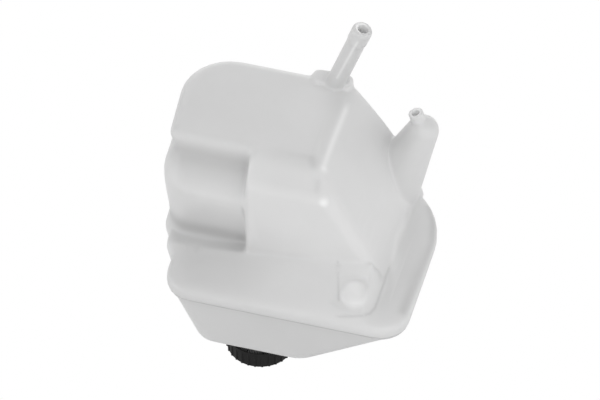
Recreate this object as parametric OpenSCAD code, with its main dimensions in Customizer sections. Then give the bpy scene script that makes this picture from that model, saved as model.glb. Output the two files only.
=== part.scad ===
// Coolant expansion tank: two moulded shells welded on a flange, with a screw cap that holds
// a pressure valve and a vacuum valve. The flange plane is z = 0, the filler cap points up,
// x runs along the front edge and y runs to the back. The origin is the first fixing eye.

/* [Flange] */
// Length of the flange along its front edge
flange_w = 200; // [190:1:215]
// Depth of the flange from front to back
flange_d = 168; // [164:1:180]
// How far the flange bulges on the grooved side, behind the front corner
flange_bulge = 9; // [6:0.5:12]
// How much further it bulges at the back
flange_splay = 11; // [6:0.5:14]
// Height of the flange bead on the lower shell
flange_h = 8; // [6:0.5:10]
// Height of the flange bead on the upper shell
upper_flange_h = 3; // [2:0.5:5]
// Radius of the two front corners
corner_front_r = 24; // [16:1:30]
// Radius of the back corner on the shelf side
corner_shelf_r = 65; // [40:1:70]
// Radius of the back corner on the grooved side
corner_grooved_r = 42; // [30:1:50]

/* [Walls] */
// Thickness of the moulded walls
wall = 2.6; // [2:0.1:3.4]
// Rounding of the lower shell's bottom edges
floor_r = 8; // [4:0.5:10]
// Rounding of the upper shell's top edges
roof_r = 8; // [4:0.5:10]

/* [Lower shell] */
// Depth of the lower shell below the flange plane
deep_h = 117; // [108:1:126]
// Height of the shelf below the flange plane
shelf_h = 12.5; // [12:0.5:16]
// Distance of the sloped wall's foot from the shelf side of the flange
slope_x = 28; // [24:1:34]
// Slope of that wall from the vertical, in degrees
slope_deg = 28; // [24:1:31]
// Distance of the front panel behind the front edge
panel_y = 46.5; // [44:0.5:52]
// Height of the chamfer between the front panel and the bottom
chamfer_h = 22.5; // [18:0.5:26]
// Depth of that chamfer from front to back
chamfer_d = 16.5; // [12:0.5:20]
// Distance of the groove step from the shelf side
step_x = 142; // [136:1:150]
// Distance that the panel stands proud of the ribs beside it
step_d = 1.6; // [1:0.1:3]
// Radius of the ribs' rounded front corner
rib_corner = 31; // [26:1:34]
// Depth of the lower groove
groove_d = 11; // [8:0.5:14]
// Distance of the lower groove below the flange plane
groove_h = 16; // [14:0.5:22]
// Height of the rib's crest above the bottom
rib_up = 45; // [40:1:52]
// Height of the hollow's middle above the bottom
hollow_up = 18.5; // [16:0.5:24]
// Depth of that hollow
hollow_d = 20; // [18:0.5:24]
// How far the grooved side stands out beyond the front corner of the flange
side_out = 17; // [12:0.5:20]
// How much further it stands out at the back
side_splay = 4; // [2:0.5:6]
// How far the sloped wall bulges towards its back corner
slope_bulge = 9; // [4:0.5:10]

/* [Skirt] */
// Height of the skirt where it meets the sloped wall
skirt_high = 34; // [28:1:38]
// Width of the pocket in the skirt
pocket_w = 32; // [26:1:34]
// Length of the pocket down the skirt
pocket_l = 30; // [26:1:32]
// Depth of the pocket
pocket_d = 1; // [0.6:0.1:1.2]
// Diameter of the round pad in the pocket
pad_dia = 21; // [16:0.5:24]
// Height of that pad
pad_h = 2.2; // [1:0.1:3]

/* [Spigots] */
// Outer diameter of the bottom spigot
spigot_dia = 15.5; // [13:0.5:17]
// Bore of the bottom spigot
spigot_bore = 9; // [7:0.5:10]
// Length of the bottom spigot beyond its boss
spigot_l = 71; // [60:1:76]
// Length of the spigot's bead
bead_l = 15; // [10:1:20]
// How far the bead stands proud
bead_h = 0.6; // [0.4:0.1:1.2]
// Lean of the bottom spigot, in degrees
spigot_lean = 18.5; // [12:0.5:22]
// Height of the boss under the bottom spigot
boss_h = 3; // [2:0.5:5]
// Length of that boss
boss_l = 34; // [30:1:38]
// Width of that boss
boss_w = 17; // [15:0.5:20]
// Radius of the round end of the horn
horn_r = 13; // [11:0.5:15]
// Height of the horn's end below the flange plane
horn_h = 86; // [80:1:92]
// Outer diameter of the horn's spigot
nub_dia = 12; // [10:0.5:13]
// Bore of the horn's spigot
nub_bore = 7; // [5:0.5:8]
// Length of the horn's spigot from the middle of the horn's end
nub_l = 20; // [18:0.5:26]

/* [Upper shell] */
// Height of the upper shell's flat roof above the flange plane
roof_h = 64; // [58:1:70]
// Width of the flat roof
roof_w = 78; // [74:1:86]

/* [Neck and cap] */
// Distance of the neck from the grooved side of the flange
neck_in = 71; // [66:1:78]
// Distance of the neck behind the front edge
neck_y = 44; // [42:1:52]
// Outer diameter of the neck
neck_dia = 46; // [44:0.5:48]
// Bore of the neck
neck_bore = 38; // [37:0.5:39]
// Height of the neck above the roof
neck_h = 8; // [7:0.5:9]
// Outer diameter of the cap
cap_dia = 58; // [56:0.5:62]
// Height of the cap
cap_h = 20; // [18:0.5:24]
// Number of grip ribs on the cap
grip_count = 30; // [24:2:48]
// Running clearance round the moving pieces
clear = 0.3; // [0.25:0.05:0.4]
// Diameter of the vacuum valve's stem
stem_dia = 5; // [4:0.5:6]
// Sliding fit of that stem on the radius
stem_fit = 0.05; // [0.03:0.01:0.08]
// Distance of the O-ring below the rim of the neck
o_ring_drop = 7; // [6:0.5:9]
// Wire of the O-ring
o_ring_w = 1.96; // [1.6:0.02:2.4]
// Wall of the cap's insert
core_wall = 3.4; // [3.2:0.1:4]
// Width of the insert's seat
seat_w = 5.4; // [5:0.1:6]
// Height of the spring retainer
retainer_h = 2.4; // [2:0.1:3]
// Length of the vacuum spring
vacuum_l = 5.4; // [5:0.1:6.4]
// Wire of the pressure spring
spring_wire = 1.6; // [1.2:0.1:1.8]
// Wire of the vacuum spring
vacuum_wire = 0.7; // [0.5:0.1:0.8]

/* [Fixing eyes] */
// Bore of the fixing eyes
eye_bore = 7; // [5:0.5:8]
// Diameter of the fixing eyes
eye_dia = 20; // [17:0.5:24]
// Distance of the first eye from the shelf side
eye_x = 156; // [150:1:160]
// Distance between the two eyes
eye_pitch = 78; // [70:1:84]

/* [Hidden] */
$fn = 48;
eps = 0.02;
milky = [0.86, 0.86, 0.84];
black = [0.06, 0.06, 0.065];
rubber = [0.1, 0.1, 0.1];
steel = [0.72, 0.72, 0.74];
grey = [0.3, 0.3, 0.31];

eye_y = flange_d + 0.55 * eye_dia;
rib_y = panel_y + step_d;

// Rounded corner of a polygon: the arc that joins the edges a-p and p-b with radius r
function unit(v) = v / norm(v);
function arc(a, p, b, r, n) =
    let (u = unit(a - p), v = unit(b - p), half = acos(u * v) / 2,
        c = p + unit(u + v) * r / sin(half), s = p + u * r / tan(half) - c,
        side = sign(u[0] * v[1] - u[1] * v[0]), turn = side * (180 - 2 * half))
    [for (i = [0:n]) let (w = -turn * i / n)
        c + [s[0] * cos(w) - s[1] * sin(w), s[0] * sin(w) + s[1] * cos(w)]];
// Corners are given as [x, y, radius, steps]
function rounded(c) = let (n = len(c)) [for (i = [0:n - 1])
    each arc([c[(i + n - 1) % n][0], c[(i + n - 1) % n][1]], [c[i][0], c[i][1]],
        [c[(i + 1) % n][0], c[(i + 1) % n][1]], c[i][2], c[i][3])];

// A closed solid through rings of equal length, each given as [z, points], with a middle point
// that every end edge can be seen from
module loft(listed, mid) {
    m = len(listed);
    rings = listed[0][0] < listed[m - 1][0] ? listed : [for (k = [m - 1:-1:0]) listed[k]];
    n = len(rings[0][1]);
    points = [for (r = rings) each [for (p = r[1]) [p[0], p[1], r[0]]]];
    ends = [[mid[0], mid[1], rings[0][0]], [mid[0], mid[1], rings[m - 1][0]]];
    sides = [for (k = [0:m - 2]) each [for (i = [0:n - 1]) let (j = (i + 1) % n)
        each [[k * n + i, k * n + n + j, k * n + j], [k * n + i, k * n + n + i, k * n + n + j]]]];
    first = [for (i = [0:n - 1]) [m * n, i, (i + 1) % n]];
    last = [for (i = [0:n - 1]) [m * n + 1, (m - 1) * n + (i + 1) % n, (m - 1) * n + i]];
    polyhedron(concat(points, ends), concat(sides, first, last));
}

// Points between p and q, at the given shares of the way
function between(p, q, shares) = [for (k = shares) p + (q - p) * k];
function last(v) = v[len(v) - 1];
front_shares = [0.02, 0.04, 0.06, 0.08, 0.11, 0.15, 0.22, 0.32, 0.45, 0.6, 0.75, 0.88];
side_shares = [0.15, 0.3, 0.45, 0.54, 0.6, 0.65, 0.7, 0.75, 0.8, 0.86, 0.93];

// Outline of the flange, drawn in by t, and by f at the front and s on the shelf side
function corners(t, f, s) = [
    [s, f, max(3, corner_front_r - max(f, s)), 6],
    [flange_w - t, f, max(3, corner_front_r - max(f, t)), 6],
    [flange_w + 0.5 - t, max(panel_y - 11, f + 7), t < 6 ? 8 + t : 6, 2],
    [flange_w + flange_bulge - t, max(panel_y + 4, f + 20), 9, 3],
    [flange_w + flange_bulge + flange_splay - t, flange_d - t, corner_grooved_r - t, 8],
    [s, flange_d - t, corner_shelf_r - t, 10]];
function corner(c, i) = let (n = len(c)) arc([c[(i + n - 1) % n][0], c[(i + n - 1) % n][1]],
    [c[i][0], c[i][1]], [c[(i + 1) % n][0], c[(i + 1) % n][1]], c[i][2], c[i][3]);
function long_ring(t, f, s) = let (c = corners(t, f, s), a = [for (i = [0:5]) corner(c, i)])
    concat(a[0], between(last(a[0]), a[1][0], front_shares), a[1], a[2], a[3], a[4], a[5],
        between(last(a[5]), a[0][0], side_shares));
function flange_ring(t) = rounded(corners(t, t, t));

// Distance of the ribbed front from the front edge at depth h: a groove behind the flange, a rib
// and a hollow above the floor, all in one wave
function ease(a) = (1 - cos(180 * max(0, min(1, a)))) / 2;
ledge = 15;
rib_h = deep_h - rib_up;
hollow_h = deep_h - hollow_up;
function sunk(h) = h < groove_h ? groove_d * (1 - ease((groove_h - h) / ledge))
    : h < rib_h ? groove_d * (1 - ease((h - groove_h) / (rib_h - groove_h)))
    : hollow_d * ease((h - rib_h) / (hollow_h - rib_h));
function ribs(h) = rib_y + sunk(h);
panel_h = deep_h - chamfer_h;
soft = 5;
function bent(a) = a < -soft ? 0 : a < soft ? (a + soft) * (a + soft) / (4 * soft) : a;
function front(h) = panel_y + chamfer_d * bent(h - panel_h) / chamfer_h;
function sloped(h) = slope_x + (h - shelf_h) * tan(slope_deg);
function back(h) = flange_d - 3 - h * tan(1.2);
function far(h) = flange_w + side_out - h * tan(0.6);

// Section of the lower shell's body at depth h, drawn in by t
side_sink = 0.38;
function above(h) = h < hollow_h ? 0 : ease((h - hollow_h) / (0.6 * hollow_up));
function side_sunk(h) = side_sink * (h < hollow_h ? sunk(h)
    : hollow_d * (1 - 0.45 * above(h)));
function body_ring(h, t) = let (g = sunk(h), w = side_sunk(h), f = front(h) + t, r = ribs(h) + t, s = sloped(h) + t,
    b = back(h) - t, l = far(h) - w - t, gap = r - f,
    jog = min(3, 0.4 * norm([2, gap])), k = max(0.4, 1 - t / 14)) rounded([
    [s, f, 9 * k, 4],
    [step_x - t, f, jog, 2],
    [step_x - t + 2, r, jog, 2],
    [l, r, max(5, rib_corner - g - t), 7],
    [l + side_splay + 0.25 * w + 0.33 * side_sink * hollow_d * above(h), b, corner_grooved_r - 2 - t, 7],
    [s - slope_bulge * sin(180 * h / deep_h), b, 9 * k, 4]]);
wave = [0.12, 0.27, 0.42, 0.58, 0.73, 0.88];
body_depths = concat([groove_h / 2, groove_h * 0.75, groove_h],
    [for (k = wave) groove_h + k * (rib_h - groove_h)], [rib_h],
    [for (k = [0.2, 0.4, 0.6]) rib_h + k * (panel_h - soft - rib_h)],
    [panel_h - soft, panel_h - soft / 2, panel_h, panel_h + soft / 2, panel_h + soft,
    0.5 * (panel_h + soft + deep_h - floor_r)]);
function floor_rings(t) = [for (a = [0:18:90])
    [-(deep_h - t) + (floor_r - t) * (1 - sin(a)),
        body_ring(deep_h - t - (floor_r - t) * (1 - sin(a)), t + (floor_r - t) * (1 - cos(a)))]];
module body(t) {
    top = t > 0 ? flange_h - 3.1 : 3.3;
    loft(concat([for (h = concat([top], body_depths)) [-h, body_ring(h, t)]], floor_rings(t)),
        [step_x, panel_y + 0.45 * (flange_d - panel_y)]);
}

// Depth of the skirt at (x, y): it rises from the front edge to the panel, most on the shelf side
skirt_from = slope_x - 4;
skirt_peak = slope_x + 11;
skirt_low = flange_h + 3;
skirt_end = flange_w - 14;
function skirt_high_at(x) = max(shelf_h, skirt_low + (skirt_high - skirt_low)
    * (skirt_end - x) / (skirt_end - skirt_peak));
function raised(x, y) = (skirt_high_at(max(x, skirt_peak)) - shelf_h)
    * ease((x - skirt_from) / (skirt_peak - skirt_from)) * max(0, min(1, (y - 3) / (panel_y - 5)))
    * (1 - ease((y - panel_y - 2) / 11));
// The inside of the skirt stands back from its steep flanks, so that the wall keeps its thickness
function raised_inside(x, y, t) = min(raised(x - 1.4 * t, y), raised(x - 1.4 * t, y + 1.4 * t));
// Rim of the lower shell: the bead, its rounded edge, the shelf and the skirt. Each ring is its
// depth and how far it is drawn in: all round, at the front and on the shelf side
bead = [[0, 0.9, 0.9, 0.9], [0.9, 0, 0, 0], [flange_h - 1, 0, 0, 0], [flange_h + 1.2, 0.8, 0.8, 0.8],
    [flange_h + 2.6, 2.6, 2.6, 2.6], [shelf_h - 0.9, 5, 5, 5], [shelf_h - 0.3, 9, 9, 9],
    [shelf_h, 14, 14, 14], [shelf_h, 17, 20, 20], [shelf_h, 18, 27, 24], [shelf_h, 19, 34, 28],
    [shelf_h, 20, 41, 33], [shelf_h, 21, 46, 38], [shelf_h, 22, 52, 44]];
module rim(t) {
    inner = t > 0;
    used = inner ? concat([[-1, 0, 0, 0]], [for (k = [3:len(bead) - 1]) bead[k]]) : bead;
    rings = [for (r = used) [for (p = long_ring(r[1] + t, r[2] + t, r[3] + t))
        [p[0], p[1], -r[0] - (inner ? raised_inside(p[0], p[1], t) : raised(p[0], p[1]))
            + (inner && r[0] > 0 ? t : 0)]]];
    skin(rings, [flange_w / 2, panel_y + 45]);
}
// A closed solid through rings of equal length whose points have their own heights
module skin(listed, mid) {
    m = len(listed);
    n = len(listed[0]);
    points = [for (k = [m - 1:-1:0]) each listed[k]];
    ends = [[mid[0], mid[1], listed[m - 1][0][2]], [mid[0], mid[1], listed[0][0][2]]];
    sides = [for (k = [0:m - 2]) each [for (i = [0:n - 1]) let (j = (i + 1) % n)
        each [[k * n + i, k * n + n + j, k * n + j], [k * n + i, k * n + n + i, k * n + n + j]]]];
    first = [for (i = [0:n - 1]) [m * n, i, (i + 1) % n]];
    end = [for (i = [0:n - 1]) [m * n + 1, (m - 1) * n + (i + 1) % n, (m - 1) * n + i]];
    polyhedron(concat(points, ends), concat(sides, first, end));
}

// The pocket lies in the skirt, square to its surface, and holds a round pad
pocket_xy = [45.6, 23.3];
pocket_at = [pocket_xy[0], pocket_xy[1], -shelf_h - raised(pocket_xy[0], pocket_xy[1])];
slope_along = (raised(pocket_xy[0] + 1, pocket_xy[1]) - raised(pocket_xy[0] - 1, pocket_xy[1])) / 2;
slope_across = (raised(pocket_xy[0], pocket_xy[1] + 1) - raised(pocket_xy[0], pocket_xy[1] - 1)) / 2;
module in_pocket() {
    translate(pocket_at) rotate([0, 0, atan2(-slope_across, -slope_along)])
        rotate([0, 180 - atan(norm([slope_along, slope_across])), 0]) children();
}
module pocket() {
    in_pocket() translate([0, 0, -pocket_d]) linear_extrude(20)
        polygon(rounded([[-pocket_l / 2, -pocket_w / 2, 6, 4], [pocket_l / 2, -pocket_w / 2, 6, 4],
            [pocket_l / 2, pocket_w / 2, 6, 4], [-pocket_l / 2, pocket_w / 2, 6, 4]]));
}
module pad() {
    in_pocket() translate([0, 0, -pocket_d - wall]) cylinder(d = pad_dia, h = wall + pad_h);
}

spigot_at = [96.8, flange_d - 13.5, -deep_h - boss_h + 1];
module along_spigot() {
    translate(spigot_at) rotate([0, spigot_lean, 0]) rotate([180, 0, 0]) children();
}
module spigot() {
    r = spigot_dia / 2;
    along_spigot() rotate_extrude() polygon([[0, -4], [r, -4], [r, spigot_l - bead_l - 1.5],
        [r + bead_h, spigot_l - bead_l], [r + bead_h, spigot_l - 3.5], [r + 0.55 * bead_h, spigot_l - 1.8],
        [r - 0.7, spigot_l - 0.5], [r - 1.6, spigot_l], [0, spigot_l]]);
}
module boss() {
    for (k = [[0, 0], [0.5 * boss_h, 0.6], [boss_h, 1.8]])
        translate([spigot_at[0] - boss_l / 2 + 4 + k[1], spigot_at[1] - boss_w / 2 + 3.5 + k[1], -deep_h - k[0]])
            linear_extrude(boss_h + 9) polygon(rounded([[0, 0, 5, 4], [boss_l - 2 * k[1], 0, 5, 4],
                [boss_l - 2 * k[1], boss_w - 2 * k[1], 5, 4], [0, boss_w - 2 * k[1], 5, 4]]));
}

horn_end = [23.6, flange_d - 16, -horn_h];
horn_foot = [50, flange_d - 23, -16];
module horn(t) {
    difference() {
        hull() {
            translate(horn_end) sphere(horn_r - t, $fn = 32);
            translate(horn_foot) sphere(1.95 * horn_r - t, $fn = 32);
        }
        translate([-20, flange_d - 90, -4]) cube([150, 120, 50]);
    }
}
module along_nub() {
    translate(horn_end) rotate([0, -18.5, 0]) rotate([180, 0, 0]) children();
}

module eyes() {
    for (x = [eye_x, eye_x - eye_pitch])
        translate([x, eye_y, -flange_h]) linear_extrude(flange_h)
            polygon(concat([for (a = [-10:10:190]) eye_dia / 2 * [cos(a), sin(a)]],
                [[-eye_dia * 0.62, -0.55 * eye_dia - 3], [eye_dia * 0.62, -0.55 * eye_dia - 3]]));
}

module place() {
    translate([-eye_x, -eye_y, 0]) children();
}

module lower_shell() {
    color(milky) place() difference() {
        union() {
            difference() {
                rim(0);
                pocket();
            }
            body(0);
            pad();
            horn(0);
            along_nub() cylinder(d = nub_dia, h = nub_l);
            boss();
            spigot();
            eyes();
        }
        rim(wall);
        body(wall);
        horn(wall);
        along_nub() translate([0, 0, 1]) cylinder(d = nub_bore, h = nub_l);
        along_spigot() translate([0, 0, -12]) cylinder(d = spigot_bore, h = spigot_l + 20);
        for (x = [eye_x, eye_x - eye_pitch])
            translate([x, eye_y, -flange_h - 1]) cylinder(d = eye_bore, h = flange_h + 2);
    }
}

// Section of the upper shell at height h, drawn in by t
neck_x = flange_w - neck_in;
roof_x = neck_x - roof_w / 2 - 3;
ramp_x = 5;
function ramp(h) = ramp_x + max(0, h - 4) * (roof_x - ramp_x - 4) / (roof_h - 4);
function upper_ring(h, t) = let (s = ramp(h) + t, l = flange_w - 3.5 - h * tan(18) - t,
    f = 4 + h * 0.16 + t, b = flange_d - 4 - h * 0.2 - t) rounded([
    [s, f, 16 - t, 5],
    [l, f, 16 - t, 5],
    [l, b, 36 - t, 7],
    [s, b, 30 - t, 7]]);
module upper(t) {
    r = roof_r - t;
    loft(concat([[t > 0 ? -1 : 0, upper_ring(0, t)], [4, upper_ring(4, t)]],
        [for (h = [roof_h - roof_r]) [h, upper_ring(h, t)]],
        [for (a = [22.5:22.5:90]) [roof_h - t - r * (1 - sin(a)),
            upper_ring(roof_h - r * (1 - sin(a)), t + r * (1 - cos(a)))]]),
        [neck_x, 0.5 * flange_d]);
}

module at_neck() {
    place() translate([neck_x, neck_y, 0]) children();
}
neck_top = roof_h + neck_h;
module upper_shell() {
    color(milky) place() difference() {
        union() {
            upper(0);
            linear_extrude(upper_flange_h) polygon(flange_ring(0.8));
            translate([neck_x, neck_y, roof_h - wall - 4])
                cylinder(d = neck_dia, h = neck_h + wall + 4);
        }
        upper(wall);
        translate([neck_x, neck_y, roof_h - wall - 5]) cylinder(d = neck_bore, h = neck_h + wall + 10);
    }
}

// The cap and its valves stand on the neck's axis
cap_low = roof_h + 1.2;
cap_top = cap_low + cap_h;
plate_z = neck_top + clear + 2;
core_r = neck_bore / 2 - 0.6;
core_low = neck_top - 20;
seat_z = core_low + 2.4;
bore_r = core_r - core_wall;
o_ring_in = o_ring_w - 0.26;
module cap_cover() {
    inner = neck_dia / 2 + 0.6;
    color(black) at_neck() {
        difference() {
            union() {
                rotate_extrude() polygon([[0, cap_low], [cap_dia / 2, cap_low],
                    [cap_dia / 2, cap_low + 3], [cap_dia / 2 - 1.4, cap_low + 4.2],
                    [cap_dia / 2 - 1.8, cap_top - 3], [cap_dia / 2 - 4.5, cap_top], [0, cap_top]]);
                for (i = [0:grip_count - 1]) rotate(360 * i / grip_count)
                    translate([cap_dia / 2 - 1.9, 0, cap_low + 2])
                        cylinder(r = 1.1, h = cap_h - 5.5, $fn = 16);
            }
            translate([0, 0, cap_low - 1]) cylinder(r = inner, h = plate_z + 3 + clear - cap_low + 1);
            translate([0, 0, plate_z]) cylinder(r = bore_r + 2, h = cap_top - 2.6 - plate_z);
        }
    }
}

module cap_core() {
    mid = neck_top - o_ring_drop;
    w = o_ring_w / 2 + 0.22;
    g = [mid - w, mid + w];
    color(grey) at_neck() rotate_extrude() polygon([[bore_r - seat_w, core_low], [core_r, core_low],
        [core_r, g[0]], [core_r - o_ring_in, g[0]], [core_r - o_ring_in, g[1]], [core_r, g[1]],
        [core_r, plate_z], [neck_dia / 2 - 0.5, plate_z], [neck_dia / 2 - 0.5, plate_z + 3],
        [bore_r, plate_z + 3], [bore_r, seat_z], [bore_r - seat_w, seat_z]]);
}

module cap_gasket() {
    color(rubber) at_neck() difference() {
        translate([0, 0, neck_top + clear]) cylinder(d = neck_dia - 1, h = plate_z - neck_top - clear);
        translate([0, 0, neck_top]) cylinder(r = core_r + eps, h = plate_z - neck_top + 1);
    }
}

module cap_o_ring() {
    color(rubber) at_neck() translate([0, 0, neck_top - o_ring_drop]) rotate_extrude()
        translate([core_r - o_ring_in + o_ring_w / 2, 0]) circle(d = o_ring_w, $fn = 24);
}

retainer_z = plate_z + 0.6;
module spring_retainer() {
    color(grey) at_neck() difference() {
        translate([0, 0, retainer_z]) cylinder(r = bore_r - eps, h = retainer_h);
        translate([0, 0, retainer_z - 1]) cylinder(r = stem_dia / 2 + 2.6, h = retainer_h + 2);
        for (a = [0:60:300]) rotate(a) translate([0.64 * bore_r, 0, retainer_z - 1])
            cylinder(r = 1.6, h = retainer_h + 2);
    }
}

// A coil of round wire, drawn as a tube along a helix
module coil(r, wire, turns, h) {
    n = 16;
    m = 8;
    steps = n * turns;
    points = [for (i = [0:steps]) let (a = 360 * i / n, z = h * i / steps) each
        [for (k = [0:m - 1]) let (b = 360 * k / m, q = r + wire / 2 * cos(b))
            [q * cos(a), q * sin(a), z + wire / 2 * sin(b)]]];
    sides = [for (i = [0:steps - 1]) each [for (k = [0:m - 1]) let (j = (k + 1) % m)
        each [[i * m + k, i * m + j, i * m + m + j], [i * m + k, i * m + m + j, i * m + m + k]]]];
    polyhedron(points, concat(sides, [[for (k = [m - 1:-1:0]) k]],
        [[for (k = [0:m - 1]) steps * m + k]]));
}

seal_h = 1.2;
disc_z = seat_z + clear;
plate_low = disc_z + seal_h;
plate_h = 2;
plate_r = bore_r - 1.2;
module pressure_spring() {
    low = plate_low + plate_h + spring_wire / 2;
    color(steel) at_neck() translate([0, 0, low])
        coil(plate_r - 1.6 - spring_wire / 2, spring_wire, 4, retainer_z - low - spring_wire / 2);
}

module pressure_plate() {
    color(grey) at_neck() difference() {
        union() {
            translate([0, 0, plate_low]) cylinder(r = plate_r, h = plate_h);
            translate([0, 0, plate_low + plate_h - eps]) cylinder(r = stem_dia / 2 + 1.6, h = 1.2);
        }
        translate([0, 0, plate_low - 1]) cylinder(r = stem_dia / 2 + stem_fit, h = 6);
        for (a = [45:90:315]) rotate(a) translate([stem_dia / 2 + 2.9, 0, plate_low - 1])
            cylinder(r = 0.8, h = 4);
    }
}

module plate_seal() {
    color(rubber) at_neck() difference() {
        translate([0, 0, disc_z]) cylinder(r = plate_r - 0.6, h = seal_h);
        translate([0, 0, disc_z - 1]) cylinder(r = bore_r - seat_w + 0.8, h = seal_h + 2);
    }
}

disc_r = bore_r - seat_w - 0.8;
collar_z = plate_low + plate_h + vacuum_l + 1.2;
module vacuum_valve() {
    color(grey) at_neck() union() {
        translate([0, 0, disc_z - 1.2]) cylinder(r = disc_r, h = seal_h + 1.2 - clear);
        translate([0, 0, disc_z]) cylinder(d = stem_dia, h = collar_z + 2 - disc_z);
    }
}

module vacuum_spring() {
    low = plate_low + plate_h + 1.2 + vacuum_wire / 2;
    color(steel) at_neck() translate([0, 0, low])
        coil(stem_dia / 2 + 0.5 + vacuum_wire / 2, vacuum_wire, 4, collar_z - low - vacuum_wire / 2);
}

module vacuum_collar() {
    color(steel) at_neck() difference() {
        translate([0, 0, collar_z]) cylinder(r = stem_dia / 2 + 1.8, h = 1.2);
        translate([0, 0, collar_z - 1]) cylinder(d = stem_dia, h = 4);
    }
}

lower_shell();
upper_shell();
cap_cover();
cap_core();
cap_gasket();
cap_o_ring();
spring_retainer();
pressure_spring();
pressure_plate();
plate_seal();
vacuum_valve();
vacuum_spring();
vacuum_collar();
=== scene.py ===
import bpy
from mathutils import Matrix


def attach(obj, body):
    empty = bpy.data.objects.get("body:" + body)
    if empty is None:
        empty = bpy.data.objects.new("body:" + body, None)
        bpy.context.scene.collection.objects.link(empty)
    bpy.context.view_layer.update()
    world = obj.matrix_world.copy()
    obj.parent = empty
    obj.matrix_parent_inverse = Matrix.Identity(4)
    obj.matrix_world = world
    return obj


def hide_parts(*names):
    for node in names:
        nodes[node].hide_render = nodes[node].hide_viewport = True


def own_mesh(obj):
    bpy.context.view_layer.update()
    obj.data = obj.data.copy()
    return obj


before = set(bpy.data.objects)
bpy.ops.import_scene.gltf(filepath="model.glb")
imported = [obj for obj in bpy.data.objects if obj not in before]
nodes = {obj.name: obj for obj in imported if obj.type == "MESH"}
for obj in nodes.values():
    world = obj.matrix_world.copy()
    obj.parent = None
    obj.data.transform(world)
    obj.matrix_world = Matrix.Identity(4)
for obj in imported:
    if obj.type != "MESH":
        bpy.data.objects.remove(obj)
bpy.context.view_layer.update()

import math

import bmesh
import bpy
import numpy as np
from mathutils import Matrix, Vector
from mathutils.bvhtree import BVHTree

scene = bpy.context.scene
scene.view_settings.view_transform = "Standard"

MM = 1000.0  # millimetres in a metre

# The photograph shows the tank upside down before a white backdrop, so the camera is below
# the front of the tank as it stands in use, and the tank's floor is at the top of the picture.
PHOTO_WIDTH, PHOTO_HEIGHT = 600, 400  # pixels
PIXEL = 0.0008  # metres on the tank for each pixel
RIGHT = Vector((-0.9646, 0.2639, 0.0))
AHEAD = Vector((0.1800, 0.6580, 0.7314)).normalized()
RIGHT = (RIGHT - RIGHT.dot(AHEAD) * AHEAD).normalized()
UP = RIGHT.cross(AHEAD)
MIDDLE = Vector((-0.0488, -0.0941, -0.0500))
DISTANCE = 6.0
SENSOR = 36.0
LENS = SENSOR * (DISTANCE / PIXEL) / PHOTO_WIDTH

# The row frame's origin from the flange's corner, the cap's axis and its grip, in metres
# unless it says millimetres.
FLANGE_X, FLANGE_Y = 156, 179  # mm
CAP_X, CAP_Y = -0.027, -0.135
CAP_INSIDE_R = 0.0265

# The middle lines of both spigots and of the filler neck.
SPIGOT = [((-0.0595, -0.0245, -0.120), (-0.0820, -0.0245, -0.190))]
NUB = [((-0.1324, -0.027, -0.0860), (-0.1255, -0.027, -0.108))]
NECK = [((CAP_X, CAP_Y, 0.066), (CAP_X, CAP_Y, 0.078))]

# Springs, as node, body, joint, height of the fixed end, share of the length that is left.
SPRINGS = (
    ("pressure_spring", "cap_insert", "pressure_lift", 0.0749, 0.794),
    ("vacuum_spring", "pressure_valve", "vacuum_drop", 0.0591, 0.778),
)

# Painted shade along lines on the lower shell, as pixels in the camera's picture, width in metres,
# strength.
PAINTED_SHADE_LINES = (
    # painted shade along the pocket's left side, and its lower and right side
    ([(337.8, 262), (338.6, 300), (339.6, 331)], 0.0010, 0.55),
    ([(340, 317), (362, 316), (370, 313.5), (375, 308), (382, 288), (389, 268)], 0.0012, 0.55),
    # painted shade at the step where the grooves end
    ([(243.5, 142), (242.5, 175), (243, 210), (246, 243)], 0.0016, 0.7),
    # a band of painted shade inside the rim
    ([(429, 208), (433, 222), (432, 245), (424, 262), (412, 290), (403, 311)], 0.0042, 0.6),
    # two spots of painted shade by the chamfer
    ([(311, 158), (313, 164)], 0.0040, 0.45),
    ([(318, 183), (317, 190)], 0.0032, 0.3),
)
# Painted highlights and painted light along lines on the lower shell, in the same form.
PAINTED_LIGHT_LINES = (
    # a painted highlight along the crease
    ([(347, 107), (340, 124), (331, 146), (324, 166)], 0.0028, 0.75),
    # the two painted highlight dots at its end
    ([(324, 168)], 0.0034, 0.9),
    ([(323.6, 203)], 0.0042, 1.0),
    # painted light on the round pad
    ([(353.5, 286), (354.5, 300)], 0.0075, 0.45),
    # the painted highlight streak on the long spigot
    ([(357.5, 42), (346.5, 61), (337, 78)], 0.0011, 0.55),
    # the painted highlight streak beside the rim
    ([(404, 222), (396, 240), (394, 262), (398, 283)], 0.0040, 0.3),
)

# Lamps, as name, direction from the tank (towards the camera, up, right), watts.
LAMP_DISTANCE, LAMP_SIZE = 2.2, 1.6
LAMPS = (
    ("front", 1.0, 0.0, 0.0, 12.9),
    ("right", 1.0, 0.0, 0.7, 6.0),
    ("low", 0.3, -1.0, 0.0, 7.2),
    ("left_side", 0.3, 0.0, -1.0, 14.0),
    ("right_side", 0.3, 0.0, 1.0, 7.4),
    ("high", 0.7, 0.85, 0.0, 3.6),
    ("behind", -0.5, 1.0, 0.0, 17.0),
    ("low_right", 0.6, -0.7, 0.7, 2.6),
    ("behind_left", -0.5, 0.0, -1.0, 3.6),
    ("behind_right", -0.5, 0.0, 1.0, 3.8),
)
WORLD_SEEN, WORLD_LIGHT = 1.0, 0.455


def make_camera():
    data = bpy.data.cameras.new("camera")
    data.lens = LENS
    data.sensor_width = SENSOR
    data.clip_start, data.clip_end = 0.05, 60.0
    cam = bpy.data.objects.new("camera", data)
    scene.collection.objects.link(cam)
    turn = Matrix((RIGHT, UP, -AHEAD)).transposed().to_4x4()
    cam.matrix_world = Matrix.Translation(MIDDLE - AHEAD * DISTANCE) @ turn
    scene.camera = cam


# --- materials -----------------------------------------------------------------------


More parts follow.
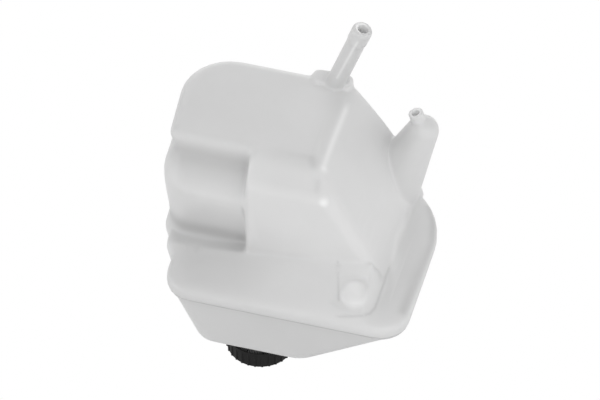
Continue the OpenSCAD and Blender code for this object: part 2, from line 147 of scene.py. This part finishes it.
def new_material(name, colour, rough, **sockets):
    mat = bpy.data.materials.new(name)
    mat.use_nodes = True
    bsdf = mat.node_tree.nodes["Principled BSDF"]
    bsdf.inputs["Base Color"].default_value = (*colour, 1.0)
    bsdf.inputs["Roughness"].default_value = rough
    for key, value in sockets.items():
        bsdf.inputs[key.replace("_", " ")].default_value = value
    return mat, mat.node_tree, bsdf


def noise(tree, scale, detail, rough):
    coord = tree.nodes.new("ShaderNodeTexCoord")
    tex = tree.nodes.new("ShaderNodeTexNoise")
    tex.inputs["Scale"].default_value = scale
    tex.inputs["Detail"].default_value = detail
    tex.inputs["Roughness"].default_value = rough
    tree.links.new(coord.outputs["Object"], tex.inputs["Vector"])
    return tex.outputs["Fac"]


def ramp(tree, source, low, low_colour, high, high_colour):
    node = tree.nodes.new("ShaderNodeValToRGB")
    tree.links.new(source, node.inputs["Fac"])
    first, last = node.color_ramp.elements
    first.position, first.color = low, (*low_colour, 1)
    last.position, last.color = high, (*high_colour, 1)
    return node.outputs["Color"]


def spread(tree, source, low, high):
    node = tree.nodes.new("ShaderNodeMapRange")
    node.inputs["To Min"].default_value = low
    node.inputs["To Max"].default_value = high
    tree.links.new(source, node.inputs["Value"])
    return node.outputs["Result"]


def bump(tree, height, strength, distance, before=None):
    node = tree.nodes.new("ShaderNodeBump")
    node.inputs["Strength"].default_value = strength
    node.inputs["Distance"].default_value = distance
    tree.links.new(height, node.inputs["Height"])
    if before is not None:
        tree.links.new(before, node.inputs["Normal"])
    return node.outputs["Normal"]


def grey(v):
    """The linear colour of the grey that a picture shows as v, from 0 to 255."""
    v = v / 255.0
    c = v / 12.92 if v <= 0.04045 else ((v + 0.055) / 1.055) ** 2.4
    return (c, c, c)


def milky_plastic():
    """Clouded light grey plastic, with painted shade and painted light from the attributes that
    moulded() writes.
    """
    mat, tree, bsdf = new_material("milky_plastic", grey(212), 0.42, Subsurface_Weight=0.35)
    bsdf.inputs["Subsurface Radius"].default_value = (1.0, 1.0, 1.0)
    bsdf.inputs["Subsurface Scale"].default_value = 0.004
    bsdf.inputs["IOR"].default_value = 1.5
    cloud = noise(tree, 9.0, 4.0, 0.55)
    colour = ramp(tree, cloud, 0.3, grey(214), 0.7, grey(220))
    # the grey of the painted shade and of the painted light that the attributes mix in
    for name, tone in (("painted_shade", grey(188)), ("painted_light", grey(243))):
        spot = tree.nodes.new("ShaderNodeAttribute")
        spot.attribute_name = name
        mix = tree.nodes.new("ShaderNodeMix")
        mix.data_type = "RGBA"
        tree.links.new(spot.outputs["Fac"], mix.inputs["Factor"])
        tree.links.new(colour, mix.inputs["A"])
        mix.inputs["B"].default_value = (*tone, 1.0)
        colour = mix.outputs["Result"]
    tree.links.new(colour, bsdf.inputs["Base Color"])
    rough = spread(tree, noise(tree, 60.0, 3.0, 0.6), 0.36, 0.50)
    tree.links.new(rough, bsdf.inputs["Roughness"])
    waves = noise(tree, 28.0, 2.0, 0.4)
    grain = noise(tree, 2600.0, 2.0, 0.6)
    soft = tree.nodes.new("ShaderNodeBevel")
    soft.samples = 6
    soft.inputs["Radius"].default_value = 0.0012
    normal = bump(tree, waves, 0.10, 0.0006, soft.outputs["Normal"])
    normal = bump(tree, grain, 0.12, 0.00006, normal)
    tree.links.new(normal, bsdf.inputs["Normal"])
    return mat


def dark_plastic(name, low, high, rough, **sockets):
    """Plain plastic or rubber, clouded between two greys, with a fine grain."""
    mat, tree, bsdf = new_material(name, grey(low), rough, **sockets)
    cloud = noise(tree, 140.0, 4.0, 0.6)
    tree.links.new(ramp(tree, cloud, 0.3, grey(low), 0.75, grey(high)), bsdf.inputs["Base Color"])
    grain = noise(tree, 3200.0, 2.0, 0.6)
    tree.links.new(bump(tree, grain, 0.35, 0.00008), bsdf.inputs["Normal"])
    return mat


def metal(name, colour, rough, streak):
    mat, tree, bsdf = new_material(name, colour, rough, Metallic=1.0)
    lines = noise(tree, streak, 5.0, 0.7)
    tree.links.new(spread(tree, lines, rough - 0.08, rough + 0.14), bsdf.inputs["Roughness"])
    tree.links.new(bump(tree, lines, 0.15, 0.00004), bsdf.inputs["Normal"])
    return mat


def dress(mat, *names):
    for name in names:
        nodes[name].data.materials.clear()
        nodes[name].data.materials.append(mat)


def paint_cap_inside_light(mat):
    """Paints the faces inside the black cap cover a paler grey, as painted light in its shadowed
    inside.
    """
    cover = nodes["cap_cover"].data
    cover.materials.append(mat)
    for p in cover.polygons:
        x, y = p.center.x - CAP_X, p.center.y - CAP_Y
        r = math.hypot(x, y)
        faces_out = x * p.normal.x + y * p.normal.y >= 0.3 * r
        if r < CAP_INSIDE_R and not faces_out and p.normal.z < 0.7:
            p.material_index = 1


def materials():
    """Dresses all CAD nodes and gives the milky plastic, which the moulded shells wear too."""
    milky = milky_plastic()
    black = dark_plastic("black_plastic", 12, 20, 0.55, Specular_IOR_Level=0.12)
    cap_inside_light = dark_plastic("cap_inside_light", 96, 106, 0.6)
    core = dark_plastic("dark_plastic", 62, 74, 0.5)
    rubber = dark_plastic("rubber", 34, 44, 0.75)
    steel = metal("steel", (0.62, 0.62, 0.63), 0.32, 900.0)
    brass = metal("brass", (0.72, 0.53, 0.24), 0.3, 1200.0)
    dress(milky, "lower_shell", "upper_shell")
    dress(black, "cap_cover")
    paint_cap_inside_light(cap_inside_light)
    dress(core, "cap_core")
    dress(rubber, "cap_gasket", "cap_o_ring", "plate_seal")
    dress(steel, "spring_retainer", "pressure_spring", "pressure_plate", "vacuum_spring")
    dress(brass, "vacuum_valve", "vacuum_collar")
    return milky


# --- softened mouldings --------------------------------------------------------------


def smooth(ob, degrees):
    for p in ob.data.polygons:
        p.use_smooth = True
    bm = bmesh.new()
    bm.from_mesh(ob.data)
    limit = math.radians(degrees)
    for e in bm.edges:
        e.smooth = len(e.link_faces) == 2 and e.calc_face_angle(0.0) < limit
    bm.to_mesh(ob.data)
    bm.free()


def mesh_arrays(mesh):
    co = np.empty(len(mesh.vertices) * 3)
    mesh.vertices.foreach_get("co", co)
    ed = np.empty(len(mesh.edges) * 2, dtype=np.int64)
    mesh.edges.foreach_get("vertices", ed)
    return co.reshape(-1, 3), ed.reshape(-1, 2)


def relax(co, ed, weight, rounds):
    """Moves each point towards the mean of its neighbours, by its weight, some rounds long."""
    n = len(co)
    count = np.bincount(ed.ravel(), minlength=n).astype(float)
    count[count == 0] = 1
    for _ in range(rounds):
        mean = np.empty_like(co)
        for k in range(3):
            from_second = np.bincount(ed[:, 0], weights=co[ed[:, 1], k], minlength=n)
            from_first = np.bincount(ed[:, 1], weights=co[ed[:, 0], k], minlength=n)
            mean[:, k] = (from_second + from_first) / count
        co = co + weight[:, None] * (mean - co)
    return co


def distance(co, segments):
    best = np.full(len(co), 1e9)
    for a, b in segments:
        a, b = np.array(a), np.array(b)
        d = b - a
        t = np.clip(((co - a) @ d) / max(d @ d, 1e-12), 0, 1)
        best = np.minimum(best, np.linalg.norm(co - (a + t[:, None] * d), axis=1))
    return best


def far_from(co, segments, near, far):
    """0 within near of any of the segments, 1 beyond far."""
    return np.clip((distance(co, segments) - near) / (far - near), 0, 1)


def step(x, a, b):
    """0 below a, 1 above b, and smooth between them."""
    t = np.clip((x - a) / (b - a), 0, 1)
    return t * t * (3 - 2 * t)


def seen_at(tree, u, v):
    """The point of the surface that the photograph shows at pixel (u, v)."""
    eye = MIDDLE - AHEAD * DISTANCE
    right, up = u - PHOTO_WIDTH / 2, PHOTO_HEIGHT / 2 - v
    goal = MIDDLE + RIGHT * right * PIXEL + UP * up * PIXEL
    hit = tree.ray_cast(eye, (goal - eye).normalized())[0]
    return goal if hit is None else hit


def near_line(co, tree, pixels, width):
    """1 on the line that the photograph shows through these pixels, fading away from it."""
    spots = [seen_at(tree, u, v) for u, v in pixels]
    pairs = list(zip(spots, spots[1:])) or [(spots[0], spots[0])]
    return np.exp(-(distance(co, pairs) / width) ** 2)


def lower_marks(mesh, co):
    """How much painted shade and painted light the lower shell gets: painted shade in the grooves,
    along the seam and on the drawn lines, a darker tone on the skirt's left and the long spigot;
    painted highlights on the crease and the dots, painted light on the pad, the panel and the
    bores."""
    tree = BVHTree.FromPolygons([tuple(c) for c in co], [tuple(p.vertices) for p in mesh.polygons])
    # millimetres from the flange's corner, and below the flange plane
    x, y, h = co[:, 0] * MM + FLANGE_X, co[:, 1] * MM + FLANGE_Y, -co[:, 2] * MM

    # painted shade in the valleys of the two grooves
    grooves = np.exp(-((h - 97) / 12) ** 2) + 1.1 * np.exp(-((h - 21) / 10) ** 2)
    painted_shade = 0.85 * grooves * step(x, 141, 147) * step(y, 45, 51) * (1 - step(y, 110, 150))
    # painted shade along the seam, and a darker tone on the skirt's left side
    seam = 1 - step(h, 0.5, 1.3)
    skirt_left = step(x, 110, 150) * (1 - step(y, 36, 48))
    painted_shade = np.maximum(painted_shade, np.maximum(0.8 * seam, 0.2 * skirt_left))
    for pixels, width, strength in PAINTED_SHADE_LINES:
        painted_shade = np.maximum(painted_shade, strength * near_line(co, tree, pixels, width))
    # a darker tone on the long spigot, and no painted shade in the bores
    tube = (1 - far_from(co, SPIGOT, 0.0095, 0.0105)) * step(h, 119, 121)
    bores = np.maximum(1 - far_from(co, SPIGOT, 0.0050, 0.0058),
                       1 - far_from(co, NUB, 0.0038, 0.0044))
    painted_shade = np.maximum(painted_shade, 0.3 * tube) * (1 - bores)

    # painted light on the front panel and inside the bores, then the painted highlights
    panel = step(h, 24, 34) * (1 - step(h, 92, 104)) * (1 - step(x, 138, 141))
    panel = panel * (1 - step(y, 58, 62)) * (1 - step(y, 47.5, 56) * 0.6)
    painted_light = np.maximum(bores * step(h, 80, 84), 0.22 * panel)
    for pixels, width, strength in PAINTED_LIGHT_LINES:
        painted_light = np.maximum(painted_light, strength * near_line(co, tree, pixels, width))
    return painted_shade, painted_light


def upper_marks(co):
    # the whole upper shell a little darker, and painted shade along the seam; no painted light
    seam = 1 - step(co[:, 2] * MM, 0.4, 1.2)
    return 0.25 + 0.6 * seam, np.zeros(len(co))


def fit_corner(co):
    """Draws the upper shell's far shelf corner in to the outline of the flange below it. All
    lengths are millimetres from the middle of the flange's corner, which is at x -91, y -76."""
    middle_x, middle_y = 91, 76
    own_x, own_y, own_r = 30, 31, 30  # the upper shell's corner: its middle and its radius
    arc_from, arc_to = 27.3, 63.8  # degrees from the shelf side
    kept_r = 45  # nothing moves inside this
    x, y, z = co[:, 0] * MM + middle_x, co[:, 1] * MM + middle_y, co[:, 2] * MM
    d = np.hypot(x, y) + 1e-9
    c, s = x / d, y / d
    turn = np.degrees(np.arctan2(y, -x))
    b = own_x * c - own_y * s
    arc = -b + np.sqrt(np.maximum(b * b - (own_x ** 2 + own_y ** 2 - own_r ** 2), 0))
    shelf_side = (own_x + own_r) / np.maximum(-c, 1e-3)
    back_side = (own_y + own_r) / np.maximum(s, 1e-3)
    edge = np.where(turn < arc_from, shelf_side, np.where(turn > arc_to, back_side, arc))
    goal = 64.2 - 4.0 * step(z, 3.0, 4.2) + 9.0 * step(z, 5.0, 30.0)
    moved = (x < 0) & (y > 0) & (d > kept_r) & (edge > goal)
    drawn = kept_r + (d - kept_r) * (goal - kept_r) / np.maximum(edge - kept_r, 1)
    new = np.where(moved, drawn, d)
    out = co.copy()
    out[:, 0] = (c * new - middle_x) / MM
    out[:, 1] = (s * new - middle_y) / MM
    return out


def applied(ob):
    """The object's mesh with its modifiers applied; the object is left without them."""
    mesh = bpy.data.meshes.new_from_object(
        ob.evaluated_get(bpy.context.evaluated_depsgraph_get()))
    ob.modifiers.clear()
    return mesh


def moulded(node, mat, voxel, rounds, keep, most):
    """The shell as it comes out of its mould, with every outer edge and fold rounded, but not
    by the flange plane and by the segments in keep, and with most triangles at the most."""
    ob = bpy.data.objects.new(node + "_moulded", nodes[node].data.copy())
    scene.collection.objects.link(ob)
    ob.data.materials.clear()
    grid = ob.modifiers.new("grid", "REMESH")
    grid.mode = "VOXEL"
    grid.voxel_size = voxel
    mesh = applied(ob)

    co, ed = mesh_arrays(mesh)
    lower = node == "lower_shell"
    from_flange = -co[:, 2] if lower else co[:, 2]
    weight = 0.5 * np.clip(from_flange * MM / 3.0 - 0.3, 0, 1) * far_from(co, keep, 0.012, 0.020)
    co = relax(co, ed, weight, rounds)
    if not lower:
        co = fit_corner(co)
    mesh.vertices.foreach_set("co", co.ravel())
    mesh.update()

    # painted shade and painted light, written as point attributes for the milky plastic
    painted_shade, painted_light = lower_marks(mesh, co) if lower else upper_marks(co)
    for name, values in (("painted_shade", painted_shade), ("painted_light", painted_light)):
        layer = mesh.attributes.new(name, "FLOAT", "POINT")
        layer.data.foreach_set("value", np.clip(values, 0, 1).astype(np.float32))
    ob.data = mesh
    triangles = sum(len(p.vertices) - 2 for p in mesh.polygons)
    if triangles > most:
        ob.modifiers.new("thin", "DECIMATE").ratio = most / triangles
        ob.data = applied(ob)
    ob.data.materials.append(mat)
    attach(ob, "tank")
    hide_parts(node)
    for p in ob.data.polygons:
        p.use_smooth = True


def squeezed(node, body, joint, fixed_z, keep):
    """A copy of the spring, attached to its body in place of the CAD node."""
    ob = bpy.data.objects.new(node + "_squeezed", nodes[node].data.copy())
    ob.matrix_world = nodes[node].matrix_world.copy()
    scene.collection.objects.link(ob)
    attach(ob, body)
    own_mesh(ob)
    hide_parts(node)


# --- stage ---------------------------------------------------------------------------


def pale_floor():
    """A pale floor, below the tank and the camera."""
    low = min(-6.0, (MIDDLE - AHEAD * DISTANCE).z - 0.6)
    half = 60.0
    mesh = bpy.data.meshes.new("floor")
    corners = [(x * half, y * half, low) for x, y in ((-1, -1), (1, -1), (1, 1), (-1, 1))]
    mesh.from_pydata(corners, [], [(0, 1, 2, 3)])
    floor = bpy.data.objects.new("floor", mesh)
    scene.collection.objects.link(floor)
    mesh.materials.append(new_material("floor", (0.9, 0.9, 0.9), 0.8)[0])


def white_backdrop():
    """A world that looks white, also in gloss and through glass, and lights less than that."""
    world = bpy.data.worlds.new("world")
    scene.world = world
    world.use_nodes = True
    tree = world.node_tree
    tree.nodes.clear()
    out = tree.nodes.new("ShaderNodeOutputWorld")
    seen = tree.nodes.new("ShaderNodeBackground")
    lit = tree.nodes.new("ShaderNodeBackground")
    for node, strength in ((seen, WORLD_SEEN), (lit, WORLD_LIGHT)):
        node.inputs["Color"].default_value = (1, 1, 1, 1)
        node.inputs["Strength"].default_value = strength
    path = tree.nodes.new("ShaderNodeLightPath")
    looked = path.outputs["Is Camera Ray"]
    for kind in ("Is Glossy Ray", "Is Transmission Ray"):
        either = tree.nodes.new("ShaderNodeMath")
        either.operation = "MAXIMUM"
        tree.links.new(looked, either.inputs[0])
        tree.links.new(path.outputs[kind], either.inputs[1])
        looked = either.outputs[0]
    mix = tree.nodes.new("ShaderNodeMixShader")
    tree.links.new(looked, mix.inputs["Fac"])
    tree.links.new(lit.outputs["Background"], mix.inputs[1])
    tree.links.new(seen.outputs["Background"], mix.inputs[2])
    tree.links.new(mix.outputs["Shader"], out.inputs["Surface"])


def lights():
    for name, near, up, right, watts in LAMPS:
        data = bpy.data.lights.new(name, "AREA")
        data.shape = "SQUARE"
        data.size = LAMP_SIZE
        data.energy = watts
        ob = bpy.data.objects.new(name, data)
        scene.collection.objects.link(ob)
        towards = (-near * AHEAD + up * UP + right * RIGHT).normalized()
        ob.location = MIDDLE + towards * LAMP_DISTANCE
        ob.rotation_mode = "QUATERNION"
        ob.rotation_quaternion = (-towards).to_track_quat("-Z", "Y")


make_camera()
pale_floor()
white_backdrop()
lights()
milky = materials()
for ob in nodes.values():
    smooth(ob, 32.0)
for spring in SPRINGS:
    squeezed(*spring)
moulded("lower_shell", milky, voxel=0.0008, rounds=22, keep=SPIGOT + NUB, most=190000)
moulded("upper_shell", milky, voxel=0.0011, rounds=10, keep=NECK, most=120000)
